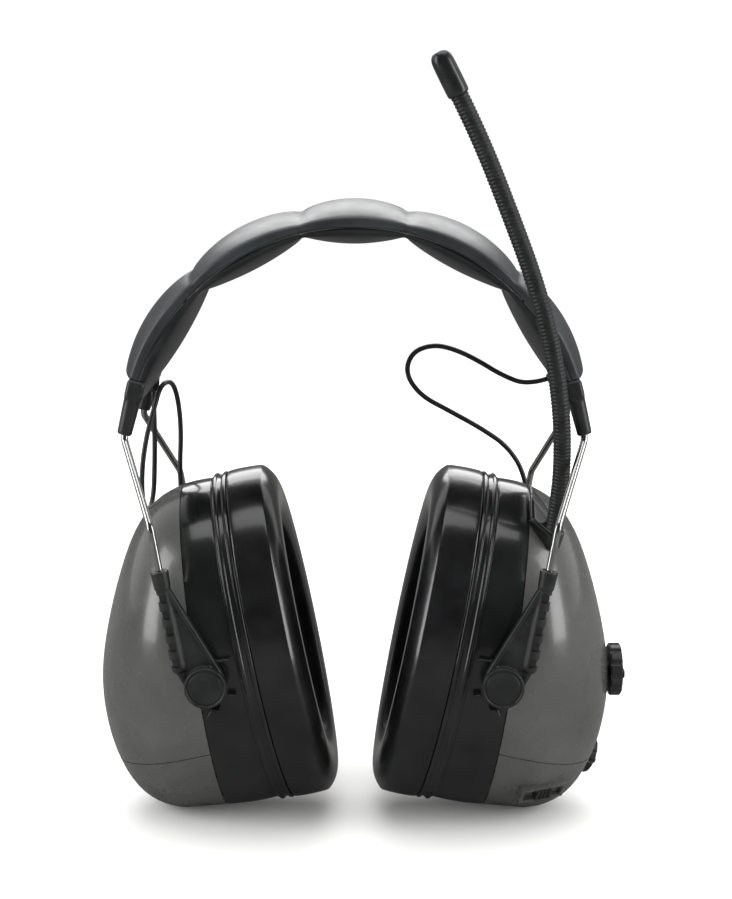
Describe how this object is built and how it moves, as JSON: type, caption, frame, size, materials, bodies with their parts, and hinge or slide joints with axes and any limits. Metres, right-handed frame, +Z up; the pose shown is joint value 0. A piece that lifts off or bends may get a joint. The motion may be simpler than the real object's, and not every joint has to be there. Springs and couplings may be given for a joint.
{
  "type": "hearing protection earmuffs",
  "caption": "Over-ear radio earmuffs: padded spring-wire headband, sliding pivot arms, tilting grey cups with soft ear seals, control knobs, a band switch and a flexible whip antenna.",
  "frame": {"origin": "middle of the crown pad's underside, where the band rests on a head", "axes": "+Z up, +X towards the radio cup, +Y the side away from the whip antenna, taken as the wearer's front"},
  "size_m": [0.1827, 0.1028, 0.2623],
  "materials": {
    "cover_vinyl": "glossy black-grey vinyl cover",
    "lining_vinyl": "soft black vinyl lining",
    "spring_steel": "polished spring steel wire",
    "black_nylon": "satin black moulded nylon",
    "button_nylon": "satin black moulded button",
    "shell_grey": "glossy graphite grey ABS",
    "inner_cup_black": "glossy black ABS",
    "seal_vinyl": "glossy black vinyl ear seal",
    "foam": "open cell polyurethane foam",
    "inner_plastic": "dark moulded inner plate",
    "speaker": "speaker",
    "screw_steel": "zinc plated steel screws",
    "knob_rubber": "black soft-touch knob",
    "whip_jacket": "ribbed black rubber jacket",
    "tip_rubber": "glossy black rubber cap",
    "cord_jacket": "black PVC cord jacket",
    "board": "green lacquered circuit board",
    "cell": "plain grey cell sleeve",
    "contact": "plated contact plates"
  },
  "bodies": {
    "crown": {"crown_cover": "cover_vinyl", "crown_lining": "lining_vinyl", "band_rivets": "black_nylon", "rear_crown_wire": "spring_steel", "front_crown_wire": "spring_steel"},
    "left_side": {"left_band_cover": "cover_vinyl", "left_band_lining": "lining_vinyl", "left_yoke": "black_nylon", "left_rear_wire": "spring_steel", "left_front_wire": "spring_steel", "left_cord": "cord_jacket"},
    "right_side": {"right_band_cover": "cover_vinyl", "right_band_lining": "lining_vinyl", "right_yoke": "black_nylon", "right_rear_wire": "spring_steel", "right_front_wire": "spring_steel", "right_cord": "cord_jacket"},
    "left_arms": {"left_rear_arm": "black_nylon", "left_front_arm": "black_nylon"},
    "right_arms": {"right_rear_arm": "black_nylon", "right_front_arm": "black_nylon"},
    "left_cup": {"left_outer_shell": "shell_grey", "left_inner_cup": "inner_cup_black", "left_seal_ring": "inner_cup_black", "left_cushion": "seal_vinyl", "left_foam_liner": "foam", "left_speaker_baffle": "inner_plastic", "left_speaker": "speaker", "left_baffle_screws": "screw_steel", "left_rear_pivot": "button_nylon", "left_front_pivot": "button_nylon", "left_cord_gland": "black_nylon", "left_battery_tray": "inner_plastic", "batteries": "cell", "battery_contacts": "contact"},
    "battery_door": {"left_battery_door": "shell_grey"},
    "right_cup": {"right_outer_shell": "shell_grey", "right_inner_cup": "inner_cup_black", "right_seal_ring": "inner_cup_black", "right_cushion": "seal_vinyl", "right_foam_liner": "foam", "right_speaker_baffle": "inner_plastic", "right_speaker": "speaker", "right_baffle_screws": "screw_steel", "right_rear_pivot": "button_nylon", "right_front_pivot": "button_nylon", "right_cord_gland": "black_nylon", "right_lower_cover": "shell_grey", "circuit_board": "board", "tuning_encoder": "inner_plastic", "volume_encoder": "inner_plastic", "switch_body": "inner_cup_black", "antenna_bracket": "inner_cup_black"},
    "tuning_knob": {"tuning_knob": "knob_rubber"},
    "volume_knob": {"volume_knob": "knob_rubber"},
    "band_switch": {"band_switch": "knob_rubber"},
    "antenna": {"antenna_whip": "whip_jacket", "antenna_tip": "tip_rubber"}
  },
  "joints": [
    {"name": "left_spread", "type": "hinge", "parent": "crown", "child": "left_side", "pos_m": [-0.05485, 0, -0.01715], "axis": [0, 1, 0], "range_deg": [0, 26], "stiffness_Nm_per_rad": 2.6},
    {"name": "left_height", "type": "slide", "parent": "left_side", "child": "left_arms", "axis": [-0.1736, 0, 0.9848], "range_m": [-0.016, 0.012], "deforming": ["left_cord"]},
    {"name": "left_tilt", "type": "hinge", "parent": "left_arms", "child": "left_cup", "pos_m": [-0.0483, 0, -0.1404], "axis": [0, -1, 0], "range_deg": [-8, 12]},
    {"name": "right_spread", "type": "hinge", "parent": "crown", "child": "right_side", "pos_m": [0.05485, 0, -0.01715], "axis": [0, -1, 0], "range_deg": [0, 26], "stiffness_Nm_per_rad": 2.6},
    {"name": "right_height", "type": "slide", "parent": "right_side", "child": "right_arms", "axis": [0.1736, 0, 0.9848], "range_m": [-0.016, 0.012], "deforming": ["right_cord"]},
    {"name": "right_tilt", "type": "hinge", "parent": "right_arms", "child": "right_cup", "pos_m": [0.0483, 0, -0.1404], "axis": [0, 1, 0], "range_deg": [-8, 12]},
    {"name": "battery_door_slide", "type": "slide", "parent": "left_cup", "child": "battery_door", "axis": [0.1354, 0, -0.9908], "range_m": [0, 0.03]},
    {"name": "tuning_turn", "type": "hinge", "parent": "right_cup", "child": "tuning_knob", "pos_m": [0.08849, 0, -0.14996], "axis": [1, 0, 0.0006], "range_deg": [-140, 140]},
    {"name": "volume_turn", "type": "hinge", "parent": "right_cup", "child": "volume_knob", "pos_m": [0.0815, 0.005, -0.18283], "axis": [0.9205, 0.102, -0.3771], "range_deg": [-30, 270]},
    {"name": "band_select", "type": "slide", "parent": "right_cup", "child": "band_switch", "axis": [0.9442, 0.3251, 0.0523], "range_m": [-0.004, 0.004]},
    {"name": "antenna_flex", "type": "hinge", "parent": "right_cup", "child": "antenna", "pos_m": [0.0663, -0.0244, -0.095], "axis": [0, 1, 0], "range_deg": [-25, 12], "stiffness_Nm_per_rad": 0.12, "deforming": ["antenna_whip"]}
  ]
}
